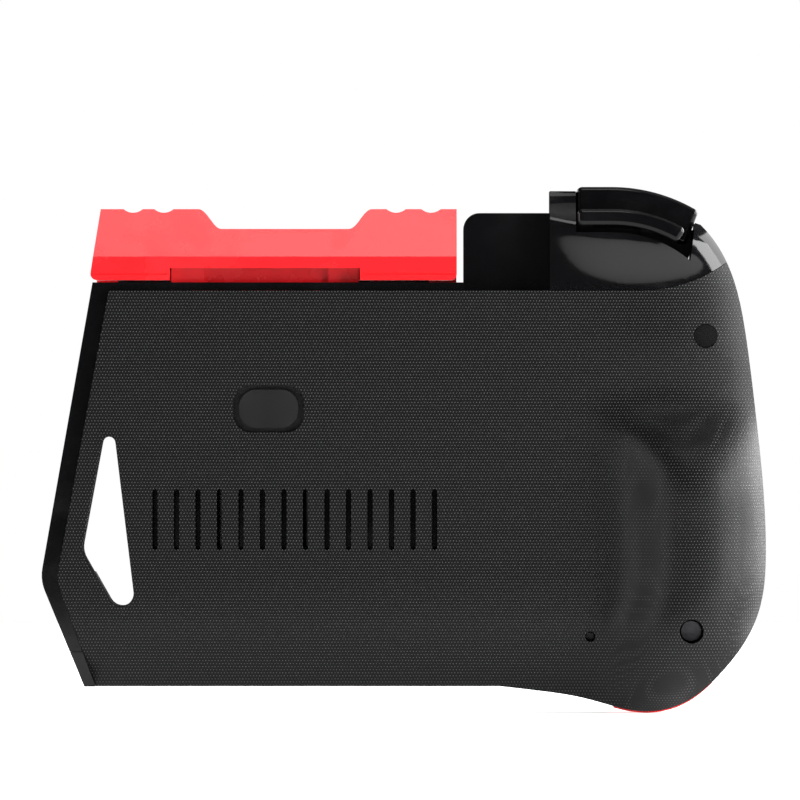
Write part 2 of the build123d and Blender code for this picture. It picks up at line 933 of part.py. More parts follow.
with BuildPart() as grip_trim:
    with BuildSketch(back(trim_gap - trim_front)) as trim_plan:
        add(trim_outer_face)
        add(trim_inner_face, mode=Mode.SUBTRACT)
        add(
            panel(
                bay_right + trim_window_left + trim_gap, bay_right + trim_window_right - trim_gap,
                -2 * grip_drop, trim_window_top - trim_gap,
            ),
            mode=Mode.INTERSECT,
        )
    extrude(amount=part_depth + trim_front - 2 * trim_gap)
save(grip_trim, "grip_trim")

with BuildPart() as bay_mat:
    slab(
        rounded_panel((0, 0), mat_length - 2 * trim_gap, mat_height - 2 * trim_gap, mat_corner),
        0, mat_thickness,
    )
save(bay_mat, "bay_mat")

# Chin with the ledge that the phone's lower edge rests on
ledge_pad_thickness = 0.8
ledge_pad_margin = 6.0
ledge_pad_end_gap = 3.0
chin_gap = 0.2
chin_wall = 1.8
lip_height = 2.5
chin_front = phone_room + lip_thickness
chin_top = -ledge_drop - ledge_pad_thickness / 2
chin_plan = common(body_face, left_of(bay_right - chin_gap), below(chin_top))

with BuildPart() as chin_cover:
    slab(chin_plan, -chin_front, plate_front)
    slab(
        common(
            body_face, left_of(bay_right - chin_gap),
            below(-ledge_drop + lip_height), above(chin_top - overrun),
        ),
        -chin_front, -phone_room,
    )
    slab(drawn_in(chin_plan, chin_wall), -chin_front + chin_wall, plate_front, mode=Mode.SUBTRACT)
    slab(kite_face(kite_wall + chin_wall), -chin_front, plate_front)
    slab(
        common(kite_face(2 * kite_wall + chin_wall), above(chin_top)),
        -deep, plate_front, mode=Mode.SUBTRACT,
    )
    slab(kite_face(seam_gap), -deep, deep, mode=Mode.SUBTRACT)
    slab(
        panel(
            -bay_left + kite_foot_inset + ledge_pad_margin, bay_right - ledge_pad_end_gap,
            chin_top - ledge_pad_thickness / 2, 0,
        ),
        -phone_room + overrun, -overrun, mode=Mode.SUBTRACT,
    )
save(chin_cover, "chin_cover")

with BuildPart() as foot_trim:
    with BuildSketch(back(part_depth)) as foot_strip:
        add(common(body_face, below(-band_end_drop - seam_gap), left_of(-bay_left + band_left)))
        add(cover_region(), mode=Mode.SUBTRACT)
    extrude(amount=band_depth - part_depth)
save(foot_trim, "foot_trim")

with BuildPart() as ledge_pad:
    slab(
        panel(
            -bay_left + kite_foot_inset + ledge_pad_margin + trim_gap,
            bay_right - ledge_pad_end_gap - trim_gap,
            -ledge_drop - ledge_pad_thickness, -ledge_drop,
        ),
        -phone_room + overrun + trim_gap, -overrun - trim_gap,
    )
save(ledge_pad, "ledge_pad")

# Clamp: the jaw with its two finger wings, drawn as seen from behind
jaw_foot = plate_top + jaw_gap
jaw_left_overhang = 0.7
jaw_left = -bay_left - jaw_left_overhang
jaw_right = bay_right - jaw_right_gap
jaw_saddle_left_share = 0.36
jaw_bend_share = 0.4
jaw_saddle_right_share = 0.705
jaw_shoulder_left_share = 0.295
jaw_shoulder_right_share = 0.77
jaw_scallop_shares = (0.118, 0.202, 0.835, 0.93)
jaw_scallop_radius = 3.2
jaw_scallop_sink = 0.8
jaw_foot_round = 1.4
jaw_groove_height = 1.2
jaw_groove_size = 0.4
jaw_top_run = 4.0
jaw_nose_height = 7.0
stem_notch_height = 2.7
stem_pocket_height = 9.0
stem_panel_left = 17.8
stem_panel_right = 9.7
stem_panel_sink = 0.9
jaw_pad_margin = 6.0
jaw_pad_thickness = 1.2
jaw_pad_proud = 0.5
jaw_length = jaw_right - jaw_left


def jaw_across(share):
    return jaw_left + jaw_length * share


with BuildPart() as clamp_jaw:
    with BuildSketch(back(-chin_front)) as jaw_plan:
        with BuildLine():
            jaw_top = jaw_foot + jaw_height
            saddle = jaw_foot + jaw_saddle_height
            Polyline(
                (jaw_across(jaw_shoulder_left_share), jaw_top),
                (jaw_left + jaw_left_lean, jaw_top),
                (jaw_left, jaw_foot),
                (jaw_right, jaw_foot),
                (jaw_right, jaw_top),
                (jaw_across(jaw_shoulder_right_share), jaw_top),
            )
            shoulder_right = jaw_across(jaw_shoulder_right_share)
            saddle_right = jaw_across(jaw_saddle_right_share)
            shoulder_left = jaw_across(jaw_shoulder_left_share)
            saddle_left = jaw_across(jaw_saddle_left_share)
            bend_right = jaw_bend_share * (shoulder_right - saddle_right)
            bend_left = jaw_bend_share * (saddle_left - shoulder_left)
            Bezier(
                (shoulder_right, jaw_top), (shoulder_right - bend_right, jaw_top),
                (saddle_right + bend_right, saddle), (saddle_right, saddle),
            )
            Line((saddle_right, saddle), (saddle_left, saddle))
            Bezier(
                (saddle_left, saddle), (saddle_left - bend_left, saddle),
                (shoulder_left + bend_left, jaw_top), (shoulder_left, jaw_top),
            )
        make_face()
        for share in jaw_scallop_shares:
            with Locations((jaw_across(share), jaw_top + jaw_scallop_radius - jaw_scallop_sink)):
                Circle(jaw_scallop_radius, mode=Mode.SUBTRACT)
        fillet(jaw_plan.vertices().group_by(Axis.Y)[0], radius=jaw_foot_round)
    extrude(amount=chin_front + jaw_depth)
    with BuildSketch(back(-chin_front)):
        with Locations((jaw_left + jaw_left_lean / 2, jaw_foot)):
            Rectangle(jaw_length - jaw_left_lean / 2, 2 * jaw_lip_drop, align=(Align.MIN, Align.CENTER))
    extrude(amount=lip_thickness)
    with BuildSketch(Plane.YZ.offset(jaw_left - overrun)) as jaw_side:
        with BuildLine():
            Polyline(
                (-jaw_depth, jaw_foot),
                (-jaw_depth, jaw_foot + jaw_crease_height),
                (jaw_lean - jaw_depth, jaw_foot + jaw_height),
                (jaw_lean + jaw_top_run - jaw_depth, jaw_foot + jaw_height),
                (chin_front, jaw_foot + jaw_nose_height),
                (chin_front, jaw_foot - jaw_lip_drop),
                (phone_room, jaw_foot - jaw_lip_drop),
                (phone_room, jaw_foot),
                close=True,
            )
        make_face()
    extrude(amount=jaw_length + 2 * overrun, mode=Mode.INTERSECT)
    slab(
        panel(
            -stem_left - slide_gap, stem_right + slide_gap,
            jaw_foot - overrun, jaw_foot + stem_notch_height,
        ),
        stem_front_depth, jaw_depth + overrun, mode=Mode.SUBTRACT,
    )
    slab(
        panel(-stem_left, stem_right, jaw_foot - overrun, jaw_foot + stem_pocket_height),
        stem_front_depth, stem_back_depth, mode=Mode.SUBTRACT,
    )
    slab(
        panel(
            jaw_left - overrun, -stem_left - 3 * slide_gap,
            jaw_foot + jaw_groove_height, jaw_foot + jaw_groove_height + jaw_groove_size,
        ),
        jaw_depth - jaw_groove_size, jaw_depth + overrun, mode=Mode.SUBTRACT,
    )
    slab(
        panel(
            stem_right + 3 * slide_gap, jaw_right + overrun,
            jaw_foot + jaw_groove_height, jaw_foot + jaw_groove_height + jaw_groove_size,
        ),
        jaw_depth - jaw_groove_size, jaw_depth + overrun, mode=Mode.SUBTRACT,
    )
    slab(
        panel(
            jaw_left + jaw_pad_margin, jaw_right - jaw_pad_margin,
            jaw_foot - overrun, jaw_foot + jaw_pad_thickness - jaw_pad_proud,
        ),
        -phone_room + overrun, -overrun, mode=Mode.SUBTRACT,
    )
save(clamp_jaw, "clamp_jaw")

with BuildPart() as jaw_pad:
    slab(
        panel(
            jaw_left + jaw_pad_margin + trim_gap, jaw_right - jaw_pad_margin - trim_gap,
            jaw_foot - jaw_pad_proud, jaw_foot + jaw_pad_thickness - jaw_pad_proud,
        ),
        -phone_room + overrun + trim_gap, -overrun - trim_gap,
    )
save(jaw_pad, "jaw_pad")

with BuildPart() as clamp_stem:
    slab(
        panel(-stem_left, stem_right, -stem_foot_drop, jaw_foot + stem_pocket_height),
        stem_front_depth, stem_back_depth,
    )
    slab(
        panel(-stem_panel_left, stem_panel_right, -stem_foot_drop, jaw_foot + stem_notch_height),
        stem_back_depth - stem_panel_sink, stem_back_depth + overrun, mode=Mode.SUBTRACT,
    )
save(clamp_stem, "clamp_stem")

# Rails beside the stem, and the two springs that pull the clamp shut
rail_width = 2.5
rail_foot = 2.0
rail_top_gap = 2.2
rail_height = 4.6

rail_edges = {
    "guide_rail_left": -stem_left - slide_gap - rail_width,
    "guide_rail_right": stem_right + slide_gap,
}
for name, edge in rail_edges.items():
    with BuildPart() as rail:
        slab(
            panel(edge, edge + rail_width, rail_foot, plate_top - rail_top_gap - housing_wall),
            plate_rear, plate_rear + rail_height,
        )
    save(rail, name)

for name, share in zip(("clamp_spring_left", "clamp_spring_right"), spring_shares):
    with BuildPart() as spring:
        with BuildSketch(Plane.XY.offset(-spring_foot_drop)):
            with Locations((stem_across(share), -spring_depth)):
                Circle(spring_radius)
                Circle(spring_hole_radius, mode=Mode.SUBTRACT)
        extrude(amount=spring_foot_drop - stem_foot_drop - spring_end_gap)
    save(spring, name)

# Lock button, its lever and the lever's pin
with BuildPart() as lock_button:
    flange_back = cover_inner - lock_flange_gap
    slab(
        rounded_panel(
            (-lock_left, lock_height), lock_recess_length + 2 * lock_flange,
            lock_recess_width + 2 * lock_flange, lock_recess_width * lock_corner_share,
        ),
        flange_back - lock_flange_thickness, flange_back,
    )
    slab(
        rounded_panel(
            (-lock_left, lock_height), lock_button_length, lock_button_width,
            lock_button_width * lock_corner_share,
        ),
        flange_back - lock_flange_thickness / 2, plate_depth - lock_cap_inset,
    )
    post(
        (-lock_left, lock_height), lock_post_radius,
        lever_depth + lever_thickness + lock_post_gap, flange_back - lock_flange_thickness / 2,
    )
save(lock_button, "lock_button")

with BuildPart() as lock_lever:
    slab(
        panel(
            -lock_left - lever_width / 2, -lock_left + lever_width / 2,
            lock_height - lever_past_button, lever_pin_height + lever_past_pin,
        ),
        lever_depth, lever_depth + lever_thickness,
    )
    slab(
        panel(
            -lock_left - lever_width / 2, -lock_left + lever_width / 2,
            lever_pin_height + lever_past_pin - lever_shoe_length, lever_pin_height + lever_past_pin,
        ),
        stem_back_depth - stem_panel_sink + lever_shoe_gap, lever_depth + lever_thickness,
    )
    with BuildSketch(Plane.YZ.offset(-lock_left - lever_width / 2)):
        with Locations((-lever_pin_depth, lever_pin_height)):
            Circle(lever_barrel_radius)
    extrude(amount=lever_width)
    with BuildSketch(Plane.YZ.offset(-lock_left - lever_width)):
        with Locations((-lever_pin_depth, lever_pin_height)):
            Circle(lever_pin_radius + lever_pin_fit)
    extrude(amount=2 * lever_width, mode=Mode.SUBTRACT)
save(lock_lever, "lock_lever")

with BuildPart() as lock_pin:
    with BuildSketch(Plane.YZ.offset(-lock_left - lug_half_span)):
        with Locations((-lever_pin_depth, lever_pin_height)):
            Circle(lever_pin_radius)
    extrude(amount=2 * lug_half_span)
save(lock_pin, "lock_pin")

# Shoulder keys: two bars curved round one centre, each on an arm that turns on the pin
shoulder_keys = {
    "l1_key": (
        key_bar(l1_outer_radius, l1_inner_radius, l1_outer_angle, l1_inner_angle),
        l1_front_depth, l1_back_depth, l1_inner_radius, l1_arm_depths, l1_nub_depths,
    ),
    "l2_key": (
        key_bar(l2_outer_radius, l2_inner_radius, l2_end_angle, l2_end_angle),
        l2_front_depth, l2_back_depth, l2_inner_radius, l2_arm_depths, l2_nub_depths,
    ),
}
for name, (bar, front_depth, back_depth, inner_radius, arm_depths, nub_depths) in shoulder_keys.items():
    with BuildPart() as key:
        slab(bar, front_depth, back_depth)
        fillet(key.edges().filter_by(Axis.Y, reverse=True).group_by(Axis.Y)[0], radius=key_round)
        fillet(key.edges().filter_by(Axis.Y, reverse=True).group_by(Axis.Y)[-1], radius=key_round)
        slab(
            panel(
                hinge_place[0] - arm_width / 2, hinge_place[0] + arm_width / 2,
                hinge_height, key_centre_height + inner_radius + overrun,
            ),
            arm_depths[0], arm_depths[1],
        )
        post(hinge_place, hinge_eye_radius, arm_depths[0], arm_depths[1])
        slab(
            panel(
                nub_x - nub_width / 2, nub_x + nub_width / 2,
                nub_foot_height, key_centre_height + inner_radius,
            ),
            nub_depths[0], nub_depths[1],
        )
        post(hinge_place, hinge_pin_radius + hinge_fit, -deep, deep, mode=Mode.SUBTRACT)
    save(key, name)

with BuildPart() as shoulder_pin:
    post(hinge_place, hinge_pin_radius, hinge_front_depth, hinge_back_depth)
save(shoulder_pin, "shoulder_pin")

key_spring_radius = 1.9
key_spring_fit = 0.2
key_spring_gap = 0.4
key_spring_length = 2.6
key_springs = {
    "l1_spring": (l1_arm_depths[1] + key_spring_gap, l1_arm_depths[1] + key_spring_gap + key_spring_length),
    "l2_spring": (l2_arm_depths[0] - key_spring_gap - key_spring_length, l2_arm_depths[0] - key_spring_gap),
}
for name, (front_depth, back_depth) in key_springs.items():
    with BuildPart() as coil:
        post(hinge_place, key_spring_radius, front_depth, back_depth)
        post(hinge_place, hinge_pin_radius + key_spring_fit, -deep, deep, mode=Mode.SUBTRACT)
    save(coil, name)

with BuildPart() as shoulder_board:
    slab(
        panel(
            bay_right + shoulder_board_left, bay_right + shoulder_board_right,
            shoulder_board_height, shoulder_board_height + board_thickness,
        ),
        shoulder_board_front, shoulder_board_back,
    )
save(shoulder_board, "shoulder_board")

for name, depths in (("l1_switch", l1_nub_depths), ("l2_switch", l2_nub_depths)):
    switch_top = shoulder_board_height + board_thickness + shoulder_switch_height
    with BuildPart() as switch:
        with BuildSketch(Plane.XY.offset(shoulder_board_height + board_thickness)):
            with Locations((nub_x, -(depths[0] + depths[1]) / 2)):
                Rectangle(shoulder_switch_size, shoulder_switch_size)
        extrude(amount=shoulder_switch_height)
        with BuildSketch(Plane.XY.offset(switch_top)):
            with Locations((nub_x, -(depths[0] + depths[1]) / 2)):
                Circle(shoulder_plunger_radius)
        extrude(amount=shoulder_plunger_height)
    save(switch, name)

# Main board, shaped like the inside of the grip
board_back_depth = board_front_depth + board_thickness
board_top = 28.0
board_bottom = -53.5
board_well_gap = 0.6
with BuildPart() as main_board:
    slab(
        common(
            drawn_in(hollow_face, housing_wall + board_inset),
            right_of(bay_right + housing_wall + board_inset / 2), below(board_top), above(board_bottom),
        ),
        board_front_depth, board_back_depth,
    )
    for place in screw_places:
        post(place, screw_boss_radius + board_well_gap, 0, deep, mode=Mode.SUBTRACT)
    for place in boss_places:
        post(place, board_screw_radius + seam_gap, 0, deep, mode=Mode.SUBTRACT)
save(main_board, "main_board")

board_screw_head = 1.8
board_screw_head_height = 1.0
board_screw_length = 6.0
with BuildPart() as board_screws:
    for place in boss_places:
        post(place, board_screw_radius, board_front_depth - board_screw_length, board_back_depth)
        post(place, board_screw_head, board_back_depth, board_back_depth + board_screw_head_height)
save(board_screws, "board_screws")

battery_left = 34.5
battery_right = 57.5
battery_top = -4.0
battery_bottom = -40.0
battery_thickness = 5.6
battery_gap = 0.2
with BuildPart() as battery:
    slab(
        panel(bay_right + battery_left, bay_right + battery_right, battery_bottom, battery_top),
        board_back_depth + battery_gap, board_back_depth + battery_gap + battery_thickness,
    )
save(battery, "battery")

usb_wall = 0.4
usb_overhang = 1.0
with BuildPart() as usb_socket:
    with BuildSketch(Plane.XY.offset(usb_mouth)):
        with Locations((usb_x, -usb_depth)):
            RectangleRounded(usb_width, usb_height, usb_height * usb_corner_share)
            RectangleRounded(
                usb_width - 2 * usb_wall, usb_height - 2 * usb_wall, usb_height * usb_hollow_share,
                mode=Mode.SUBTRACT,
            )
    extrude(amount=usb_length)
    with BuildSketch(Plane.XY.offset(usb_mouth + usb_length)):
        with Locations((usb_x, -usb_depth)):
            RectangleRounded(usb_width - usb_wall, usb_height - usb_wall, usb_height * usb_hollow_share)
    extrude(amount=-usb_wall)
    with BuildSketch(Plane.XY.offset(usb_mouth + usb_overhang)):
        with Locations((usb_x, -usb_depth)):
            Rectangle(usb_width - 6 * usb_wall, 2 * usb_wall)
    extrude(amount=usb_length - usb_overhang)
save(usb_socket, "usb_socket")

reset_size = 4.0
reset_height = 2.4
reset_plunger_radius = 0.9
reset_plunger_height = 1.0
reset_gap = 0.05
reset_travel = 0.3
reset_pocket = 1.2
with BuildPart() as reset_switch:
    with BuildSketch(back(board_back_depth)):
        with Locations(pinhole_place):
            Rectangle(reset_size, reset_size)
    extrude(amount=reset_height)
    post(
        pinhole_place, reset_plunger_radius + reset_gap,
        board_back_depth + reset_height - reset_pocket, deep, mode=Mode.SUBTRACT,
    )
save(reset_switch, "reset_switch")
with BuildPart() as reset_plunger:
    post(
        pinhole_place, reset_plunger_radius,
        board_back_depth + reset_height - reset_pocket + reset_travel + reset_gap,
        board_back_depth + reset_height + reset_plunger_height,
    )
save(reset_plunger, "reset_plunger")

with BuildPart() as cover_screws:
    for place, seat in zip(screw_places, screw_seat_depths):
        post(place, screw_head_radius, seat, seat + screw_head_height)
        post(place, screw_shank_radius, seat - screw_length + overrun, seat)
save(cover_screws, "cover_screws")

with BuildPart() as screw_plug:
    post(screw_places[0], well_radius - trim_gap, plug_depth - plug_thickness, plug_depth)
save(screw_plug, "screw_plug")

# Thumbstick: an open box with a ring that tilts about X, and a shaft in it that tilts about Z
module_size = 13.0
module_corner = 2.0
module_wall = 1.1
module_top_depth = -3.0
gimbal_radius = 4.9
gimbal_hole_radius = 3.2
gimbal_thickness = 2.4
gimbal_pin_radius = 0.7
gimbal_pin_fit = 0.05
gimbal_pin_reach = 6.1
shaft_radius = 1.5
shaft_hub_radius = 2.4
shaft_pin_reach = 4.7
shaft_foot = 2.4
shaft_top = 12.0
stick_dish_radius = 14.0
stick_dish_sink = 1.0
stick_head_round = 1.2
stick_hollow_radius = 1.6
gimbal_centre = (stick_place[0], -stick_centre_depth, stick_place[1])
module_square = rounded_panel(stick_place, module_size, module_size, module_corner)
module_hollow = rounded_panel(
    stick_place, module_size - 2 * module_wall, module_size - 2 * module_wall, module_corner / 2
)

with BuildPart() as stick_module:
    slab(module_square, module_top_depth, board_front_depth)
    slab(module_hollow, module_top_depth - overrun, board_front_depth - module_wall, mode=Mode.SUBTRACT)
    with BuildSketch(Plane.YZ.offset(stick_place[0] - module_size)):
        with Locations((-stick_centre_depth, stick_place[1])):
            Circle(gimbal_pin_radius + gimbal_pin_fit)
    extrude(amount=2 * module_size, mode=Mode.SUBTRACT)
save(stick_module, "stick_module")

with BuildPart() as stick_gimbal:
    post(
        stick_place, gimbal_radius, stick_centre_depth - gimbal_thickness / 2,
        stick_centre_depth + gimbal_thickness / 2,
    )
    with BuildSketch(Plane.YZ.offset(stick_place[0] - gimbal_pin_reach)):
        with Locations((-stick_centre_depth, stick_place[1])):
            Circle(gimbal_pin_radius)
    extrude(amount=2 * gimbal_pin_reach)
    post(stick_place, gimbal_hole_radius, -deep, deep, mode=Mode.SUBTRACT)
    with BuildSketch(Plane.XY.offset(stick_place[1] - gimbal_radius - overrun)):
        with Locations((stick_place[0], -stick_centre_depth)):
            Circle(gimbal_pin_radius + gimbal_pin_fit)
    extrude(amount=2 * gimbal_radius + 2 * overrun, mode=Mode.SUBTRACT)
save(stick_gimbal, "stick_gimbal")

with BuildPart() as stick_shaft:
    post(stick_place, shaft_radius, stick_centre_depth - shaft_top, stick_centre_depth + shaft_foot)
    with Locations(gimbal_centre):
        Sphere(shaft_hub_radius)
    with BuildSketch(Plane.XY.offset(stick_place[1] - shaft_pin_reach)):
        with Locations((stick_place[0], -stick_centre_depth)):
            Circle(gimbal_pin_radius)
    extrude(amount=2 * shaft_pin_reach)
save(stick_shaft, "stick_shaft")

with BuildPart() as stick_cap:
    with BuildSketch(Plane(origin=gimbal_centre, x_dir=(1, 0, 0), z_dir=(0, 0, 1))) as cap_profile:
        with BuildLine():
            dome_inner = stick_dome_radius - stick_dome_wall
            rim_sin, rim_cos = sin(radians(stick_dome_angle)), cos(radians(stick_dome_angle))
            half_sin, half_cos = sin(radians(stick_dome_angle / 2)), cos(radians(stick_dome_angle / 2))
            neck_foot = (stick_dome_radius**2 - stick_neck_radius**2) ** (1 / 2)
            head_top = stick_head_base + stick_head_thickness
            neck_sin = stick_neck_radius / stick_dome_radius
            Line((0, dome_inner), (0, head_top - stick_dish_sink))
            ThreePointArc(
                (0, head_top - stick_dish_sink),
                ((stick_head_radius - stick_head_round) / 2, head_top - stick_dish_sink * 3 / 4),
                (stick_head_radius - stick_head_round, head_top),
            )
            Polyline(
                (stick_head_radius - stick_head_round, head_top),
                (stick_head_radius, head_top - stick_head_round),
                (stick_head_radius, stick_head_base + stick_head_round),
                (stick_head_radius - stick_head_round, stick_head_base),
                (stick_neck_radius, stick_head_base),
            )
            Line((stick_neck_radius, stick_head_base), (stick_neck_radius, neck_foot))
            ThreePointArc(
                (stick_neck_radius, neck_foot),
                (stick_dome_radius * half_sin, stick_dome_radius * half_cos),
                (stick_dome_radius * rim_sin, stick_dome_radius * rim_cos),
            )
            Line(
                (stick_dome_radius * rim_sin, stick_dome_radius * rim_cos),
                (dome_inner * rim_sin, dome_inner * rim_cos),
            )
            ThreePointArc(
                (dome_inner * rim_sin, dome_inner * rim_cos),
                (dome_inner * half_sin, dome_inner * half_cos),
                (0, dome_inner),
            )
        make_face()
    revolve(axis=Axis(gimbal_centre, (0, 1, 0)))
    post(stick_place, shaft_radius + reset_gap, stick_centre_depth - shaft_top, deep, mode=Mode.SUBTRACT)
save(stick_cap, "stick_cap")

with BuildPart() as stick_ring:
    post(
        stick_place, stick_opening_radius + stick_ring_width - trim_gap,
        -grip_front - stick_ring_proud, stick_ring_recess - grip_front,
    )
    post(stick_place, stick_opening_radius, -deep, deep, mode=Mode.SUBTRACT)
save(stick_ring, "stick_ring")

# Keys on the front, over the domes and columns of one rubber sheet
key_flange_front = front_inner + slide_gap
key_flange_back = key_flange_front + key_flange_thickness
pad_stem_radius = 2.6
pad_stem_back = -5.4
key_back_gap = 0.3
membrane_thickness = 1.0
membrane_margin = 2.0
menu_stem_back = -6.5
menu_stem_radius = 1.4

for name, place in pad_places.items():
    with BuildPart() as key:
        post(place, pad_key_radius, -grip_front - pad_key_proud, key_flange_front)
        fillet(key.edges().group_by(Axis.Y)[-1], radius=key_round)
        post(place, pad_key_radius + key_fit + key_flange, key_flange_front, key_flange_back)
        post(place, pad_stem_radius, key_flange_back, pad_stem_back)
    save(key, name)

for name, place in menu_places.items():
    with BuildPart() as key:
        slab(
            rounded_panel(place, menu_key_length, menu_key_width, menu_key_width * menu_corner_share),
            -grip_front - menu_key_proud, key_flange_front,
        )
        slab(
            rounded_panel(
                place, menu_key_length + 2 * key_flange, menu_key_width + 2 * key_flange,
                menu_key_width * menu_corner_share,
            ),
            key_flange_front, key_flange_back,
        )
        post(place, menu_stem_radius, key_flange_back, menu_stem_back)
    save(key, name)

with BuildPart() as key_membrane:
    membrane_front = board_front_depth - membrane_thickness
    reach = pad_pitch + pad_key_radius
    with BuildSketch(back(membrane_front)):
        add(
            panel(
                led_place[0] - menu_key_length / 2 - membrane_margin, pad_place[0] + reach,
                pad_place[1] - reach, pad_place[1] + reach,
            )
        )
        add(
            panel(
                led_place[0] - menu_key_length / 2 - membrane_margin, led_place[0] + menu_key_length / 2,
                pad_place[1], select_height + membrane_margin,
            )
        )
    extrude(amount=membrane_thickness)
    for place in pad_places.values():
        post(place, pad_stem_radius, pad_stem_back + pad_key_travel + key_back_gap, membrane_front)
    for place in menu_places.values():
        post(place, menu_stem_radius, menu_stem_back + menu_key_travel + key_back_gap, membrane_front)
    for place in boss_places:
        post(place, boss_radius + key_fit, -deep, deep, mode=Mode.SUBTRACT)
save(key_membrane, "key_membrane")

led_stem_back = 1.6
with BuildPart() as led_window:
    post(led_place, led_radius - trim_gap, -grip_front, front_inner)
    post(led_place, led_radius + key_fit, front_inner, led_stem_back)
save(led_window, "led_window")

switch_knob_proud = 1.0
switch_stem_back = 1.6
with BuildPart() as power_switch:
    slab(
        rounded_panel(
            (switch_place[0], switch_place[1] - switch_travel),
            switch_slot_width - 2 * key_fit, switch_knob_length, switch_slot_width * switch_corner_share,
        ),
        -grip_front - switch_knob_proud, key_flange_front,
    )
    slab(
        rounded_panel(
            (switch_place[0], switch_place[1] - switch_travel),
            switch_slot_width + 2 * key_flange, switch_knob_length + 2 * switch_travel,
            switch_slot_width * switch_corner_share,
        ),
        key_flange_front, key_flange_back,
    )
    post(
        (switch_place[0], switch_place[1] - switch_travel), menu_stem_radius,
        key_flange_back, switch_stem_back,
    )
save(power_switch, "power_switch")
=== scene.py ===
import bpy
import json
from math import pi
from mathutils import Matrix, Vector

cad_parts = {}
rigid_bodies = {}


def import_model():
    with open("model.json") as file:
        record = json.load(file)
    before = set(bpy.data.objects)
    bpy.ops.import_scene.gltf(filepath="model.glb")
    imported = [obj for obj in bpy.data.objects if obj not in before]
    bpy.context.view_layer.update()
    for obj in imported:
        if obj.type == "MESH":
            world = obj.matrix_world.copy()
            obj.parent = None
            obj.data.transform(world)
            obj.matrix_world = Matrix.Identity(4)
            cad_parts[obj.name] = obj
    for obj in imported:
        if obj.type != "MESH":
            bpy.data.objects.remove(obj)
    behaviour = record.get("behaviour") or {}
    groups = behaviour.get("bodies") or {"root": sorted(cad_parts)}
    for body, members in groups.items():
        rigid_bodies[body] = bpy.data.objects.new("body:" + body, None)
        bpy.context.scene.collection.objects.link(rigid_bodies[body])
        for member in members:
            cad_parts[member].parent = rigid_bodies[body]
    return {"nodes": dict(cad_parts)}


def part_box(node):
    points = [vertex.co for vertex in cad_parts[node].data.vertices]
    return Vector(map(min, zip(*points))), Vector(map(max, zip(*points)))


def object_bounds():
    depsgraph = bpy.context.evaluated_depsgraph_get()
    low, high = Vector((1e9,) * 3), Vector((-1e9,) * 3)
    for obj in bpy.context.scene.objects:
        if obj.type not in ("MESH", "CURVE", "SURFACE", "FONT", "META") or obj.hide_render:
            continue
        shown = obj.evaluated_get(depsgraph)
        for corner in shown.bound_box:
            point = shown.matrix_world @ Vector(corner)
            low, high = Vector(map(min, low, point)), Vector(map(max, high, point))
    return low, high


# One-handed clip-on gamepad, seen straight from behind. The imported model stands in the
# frame as it is, and this script gives its surfaces their finish, light and floor.
# Lengths are in metres: X runs along the phone, Z is up, and the camera looks along +Y.

for left_over in list(bpy.data.objects):
    bpy.data.objects.remove(left_over)
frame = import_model()
cad_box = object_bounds()
MM = 0.001

# Camera and picture
view_centre = (25.5 * MM, 6.6 * MM)
view_width = 176 * MM
camera_distance = 3.0
plate_back = -13 * MM

# Raised dots on the back, in staggered rows
dot_pitch = 0.677 * MM
dot_depth = 0.045 * MM
dot_height_range = (0.2, 2.9)
# How far the dots' paler colour reaches: a painted highlight on the dot tops
dot_glint_range = (1.5, 2.9)
dot_blend_power = 6.0

# Arrowheads on the direction keys
arrow_length = 2.6 * MM
arrow_slope = 0.62
arrow_edge = 0.12 * MM
arrow_depth = 0.12 * MM

# Ribs on the rubber mats
rib_pitch = 2.2 * MM
rib_depth = 0.18 * MM
rib_range = (-0.6, 0.9)

# How fine each pattern is, in features to the metre
back_fineness = 2600.0
back_patches = 70.0
plastic_fineness = 7000.0
plastic_patches = 90.0
mat_fineness = 5000.0
mat_patches = 110.0
lens_fineness = 9000.0
lens_patches = 400.0
smear_fineness = 75.0
sag_fineness = 160.0
tarnish_fineness = 260.0
dust_fineness = 190.0
crease_fineness = 230.0
track_fineness = 420.0
pad_fineness = 300.0

# How deep the reliefs are
grain_depth = 0.012 * MM
sag_depth = 0.03 * MM
line_depth = 0.01 * MM
track_depth = 0.03 * MM
crease_depth = 0.5 * MM
lens_depth = 0.006 * MM

# Where the patterns start and end, as values of their noise or of how a face lies
patch_range = (0.32, 0.68)
smear_range = (0.46, 0.72)
scuff_range = (0.70, 0.78)
tarnish_range = (0.40, 0.75)
speckle_range = (0.30, 0.70)
speckle_shares = (0.55, 1.0)
fold_range = (0.0, 0.12)
track_range = (0.55, 0.65)
pad_range = (0.12, 0.16)
upward_range = (0.35, 1.0)
forward_range = (0.80, 0.95)

# Scuffs run long and thin in one slanting direction
scuff_turn = (0.3, 0.9, 0.5)
scuff_stretch = (60.0, 900.0, 900.0)

# How much an effect counts beside another
smear_share = 0.7
scuff_share = 0.3
grain_on_keys = 0.05
grain_on_mat = 0.15

# Rings in each cell of the board's tracks
track_rings = 5.0

# Dust on faces that look up
dust_range = (0.35, 0.80)
dust_colour = (0.30, 0.29, 0.28)


# Node helpers
def put(tree, socket, value):
    """Sets a socket to a plain value, or joins it to another socket."""
    if isinstance(value, bpy.types.NodeSocket):
        tree.links.new(value, socket)
    else:
        socket.default_value = value


def maths(tree, operation, *values, clamp=False):
    node = tree.nodes.new("ShaderNodeMath")
    node.operation = operation
    node.use_clamp = clamp
    for socket, value in zip(node.inputs, values):
        put(tree, socket, value)
    return node.outputs[0]


def vector(tree, operation, first, second):
    node = tree.nodes.new("ShaderNodeVectorMath")
    node.operation = operation
    put(tree, node.inputs[0], first)
    put(tree, node.inputs[1], second)
    return node.outputs["Vector"]


